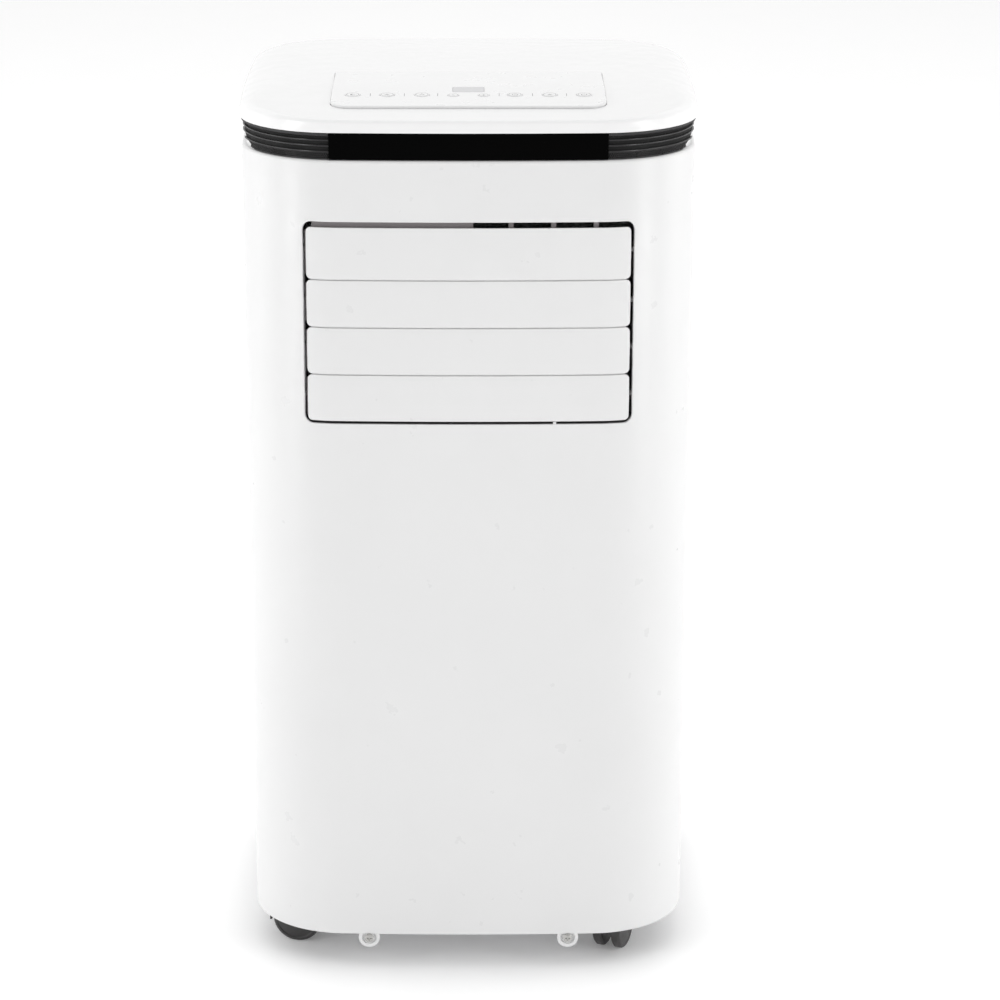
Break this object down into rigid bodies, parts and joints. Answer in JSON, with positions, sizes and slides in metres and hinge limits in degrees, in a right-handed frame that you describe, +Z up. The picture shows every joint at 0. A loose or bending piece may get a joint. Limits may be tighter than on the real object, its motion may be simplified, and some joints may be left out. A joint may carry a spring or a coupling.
{
  "type": "portable air conditioner",
  "caption": "White tower air conditioner on casters with a domed lid, dark band, louvred front outlet and rear intake grilles.",
  "frame": {"origin": "on the floor, below the middle of the lid's outline", "axes": "+Z up, -Y towards the louvred front, +X to the right as seen from the front"},
  "size_m": [0.355, 0.345, 0.703],
  "materials": {
    "shell_plastic": "satin moulded white",
    "lid_plastic": "glossy moulded white",
    "band_plastic": "moulded black",
    "window_gloss": "polished black",
    "display_glass": "smoked window",
    "key_plastic": "glossy moulded white",
    "frame_plastic": "dark moulded",
    "tray_plastic": "moulded light grey",
    "duct_foam": "expanded foam",
    "fan_plastic": "dark moulded",
    "caster_plastic": "moulded near black",
    "dark_rubber": "matte",
    "screw_steel": "bright zinc",
    "zinc_steel": "galvanised sheet",
    "motor_metal": "plated can",
    "compressor_paint": "black paint",
    "pump_iron": "cast",
    "coil_aluminium": "bare fins",
    "copper": "drawn copper",
    "circuit_board": "solder mask"
  },
  "bodies": {
    "case": {"base_tray": "tray_plastic", "front_panel": "shell_plastic", "rear_panel": "shell_plastic", "top_cover": "lid_plastic", "vent_band": "band_plastic", "ir_window": "window_gloss", "control_pad": "lid_plastic", "display_window": "display_glass", "display_board": "circuit_board", "louver_frame": "frame_plastic", "swing_motor": "motor_metal", "air_duct": "duct_foam", "side_handles": "shell_plastic", "partition": "tray_plastic", "evaporator": "coil_aluminium", "condenser": "coil_aluminium", "upper_scroll": "duct_foam", "upper_motor": "motor_metal", "lower_scroll": "tray_plastic", "lower_motor": "motor_metal", "compressor_shell": "compressor_paint", "compressor_core": "pump_iron", "compressor_mounts": "dark_rubber", "copper_tubes": "copper", "control_box": "zinc_steel", "main_board": "circuit_board", "run_capacitor": "motor_metal", "exhaust_duct": "tray_plastic", "exhaust_collar": "shell_plastic", "power_gland": "dark_rubber", "splash_motor": "motor_metal", "case_screws": "screw_steel"},
    "louver_1": {"louver_1": "shell_plastic"},
    "louver_2": {"louver_2": "shell_plastic"},
    "louver_3": {"louver_3": "shell_plastic"},
    "louver_4": {"louver_4": "shell_plastic"},
    "louver_link": {"louver_link": "zinc_steel"},
    "upper_wheel": {"upper_wheel": "fan_plastic"},
    "lower_wheel": {"lower_wheel": "fan_plastic"},
    "splash_wheel": {"splash_wheel": "tray_plastic"},
    "filter_upper": {"filter_upper": "shell_plastic"},
    "filter_lower": {"filter_lower": "shell_plastic"},
    "drain_plug": {"drain_plug": "dark_rubber"},
    "water_float": {"water_float": "shell_plastic"},
    "key_1": {"key_1": "key_plastic"},
    "key_2": {"key_2": "key_plastic"},
    "key_3": {"key_3": "key_plastic"},
    "key_4": {"key_4": "key_plastic"},
    "key_5": {"key_5": "key_plastic"},
    "key_6": {"key_6": "key_plastic"},
    "key_7": {"key_7": "key_plastic"},
    "key_8": {"key_8": "key_plastic"},
    "caster_1": {"caster_1": "caster_plastic"},
    "caster_wheels_1": {"caster_wheels_1": "caster_plastic"},
    "caster_2": {"caster_2": "caster_plastic"},
    "caster_wheels_2": {"caster_wheels_2": "caster_plastic"},
    "caster_3": {"caster_3": "caster_plastic"},
    "caster_wheels_3": {"caster_wheels_3": "caster_plastic"},
    "caster_4": {"caster_4": "caster_plastic"},
    "caster_wheels_4": {"caster_wheels_4": "caster_plastic"}
  },
  "joints": [
    {"name": "louver_1_pivot", "type": "hinge", "parent": "case", "child": "louver_1", "pos_m": [0, -0.152, 0.59105], "axis": [-1, 0, 0], "range_deg": [0, 60]},
    {"name": "louver_2_pivot", "type": "hinge", "parent": "case", "child": "louver_2", "pos_m": [0, -0.152, 0.5519], "axis": [-1, 0, 0], "range_deg": [0, 60]},
    {"name": "louver_3_pivot", "type": "hinge", "parent": "case", "child": "louver_3", "pos_m": [0, -0.152, 0.5147], "axis": [-1, 0, 0], "range_deg": [0, 60]},
    {"name": "louver_4_pivot", "type": "hinge", "parent": "case", "child": "louver_4", "pos_m": [0, -0.152, 0.4775], "axis": [-1, 0, 0], "range_deg": [0, 60]},
    {"name": "louver_link_pivot", "type": "hinge", "parent": "louver_1", "child": "louver_link", "pos_m": [-0.1262, -0.14421, 0.59555], "axis": [-1, 0, 0], "range_deg": [-60, 0]},
    {"name": "upper_wheel_spin", "type": "hinge", "parent": "case", "child": "upper_wheel", "pos_m": [0, 0.08, 0.505], "axis": [0, 1, 0], "continuous": true},
    {"name": "lower_wheel_spin", "type": "hinge", "parent": "case", "child": "lower_wheel", "pos_m": [0.045, 0.08, 0.16], "axis": [0, 1, 0], "continuous": true},
    {"name": "splash_wheel_spin", "type": "hinge", "parent": "case", "child": "splash_wheel", "pos_m": [-0.03, 0.104, 0.06], "axis": [0, 1, 0], "continuous": true},
    {"name": "filter_upper_pull", "type": "slide", "parent": "case", "child": "filter_upper", "axis": [0, 1, 0], "range_m": [0, 0.04]},
    {"name": "filter_lower_pull", "type": "slide", "parent": "case", "child": "filter_lower", "axis": [0, 1, 0], "range_m": [0, 0.04]},
    {"name": "drain_plug_pull", "type": "slide", "parent": "case", "child": "drain_plug", "axis": [0, 1, 0], "range_m": [0, 0.025]},
    {"name": "water_float_rise", "type": "slide", "parent": "case", "child": "water_float", "axis": [0, 0, 1], "range_m": [0, 0.008]},
    {"name": "key_1_press", "type": "slide", "parent": "case", "child": "key_1", "axis": [0, 0, -1], "range_m": [0, 0.0008], "stiffness_N_per_m": 1000},
    {"name": "key_2_press", "type": "slide", "parent": "case", "child": "key_2", "axis": [0, 0, -1], "range_m": [0, 0.0008], "stiffness_N_per_m": 1000},
    {"name": "key_3_press", "type": "slide", "parent": "case", "child": "key_3", "axis": [0, 0, -1], "range_m": [0, 0.0008], "stiffness_N_per_m": 1000},
    {"name": "key_4_press", "type": "slide", "parent": "case", "child": "key_4", "axis": [0, 0, -1], "range_m": [0, 0.0008], "stiffness_N_per_m": 1000},
    {"name": "key_5_press", "type": "slide", "parent": "case", "child": "key_5", "axis": [0, 0, -1], "range_m": [0, 0.0008], "stiffness_N_per_m": 1000},
    {"name": "key_6_press", "type": "slide", "parent": "case", "child": "key_6", "axis": [0, 0, -1], "range_m": [0, 0.0008], "stiffness_N_per_m": 1000},
    {"name": "key_7_press", "type": "slide", "parent": "case", "child": "key_7", "axis": [0, 0, -1], "range_m": [0, 0.0008], "stiffness_N_per_m": 1000},
    {"name": "key_8_press", "type": "slide", "parent": "case", "child": "key_8", "axis": [0, 0, -1], "range_m": [0, 0.0008], "stiffness_N_per_m": 1000},
    {"name": "caster_1_swivel", "type": "hinge", "parent": "case", "child": "caster_1", "pos_m": [-0.124, -0.112, 0.05], "axis": [0, 0, 1], "continuous": true},
    {"name": "caster_wheels_1_roll", "type": "hinge", "parent": "caster_1", "child": "caster_wheels_1", "pos_m": [-0.13867, -0.10888, 0.02], "axis": [-0.2079, -0.9781, 0], "continuous": true},
    {"name": "caster_2_swivel", "type": "hinge", "parent": "case", "child": "caster_2", "pos_m": [0.124, -0.112, 0.05], "axis": [0, 0, 1], "continuous": true},
    {"name": "caster_wheels_2_roll", "type": "hinge", "parent": "caster_2", "child": "caster_wheels_2", "pos_m": [0.11862, -0.126, 0.02], "axis": [0.9336, -0.3584, 0], "continuous": true},
    {"name": "caster_3_swivel", "type": "hinge", "parent": "case", "child": "caster_3", "pos_m": [0.124, 0.112, 0.05], "axis": [0, 0, 1], "continuous": true},
    {"name": "caster_wheels_3_roll", "type": "hinge", "parent": "caster_3", "child": "caster_wheels_3", "pos_m": [0.1315, 0.12499, 0.02], "axis": [-0.866, 0.5, 0], "continuous": true},
    {"name": "caster_4_swivel", "type": "hinge", "parent": "case", "child": "caster_4", "pos_m": [-0.124, 0.112, 0.05], "axis": [0, 0, 1], "continuous": true},
    {"name": "caster_wheels_4_roll", "type": "hinge", "parent": "caster_4", "child": "caster_wheels_4", "pos_m": [-0.13759, 0.10566, 0.02], "axis": [0.4226, -0.9063, 0], "continuous": true}
  ],
  "couplings": [
    {"joint": "louver_2_pivot", "follows": "louver_1_pivot", "ratio": 1},
    {"joint": "louver_3_pivot", "follows": "louver_1_pivot", "ratio": 1},
    {"joint": "louver_4_pivot", "follows": "louver_1_pivot", "ratio": 1},
    {"joint": "louver_link_pivot", "follows": "louver_1_pivot", "ratio": -1}
  ]
}
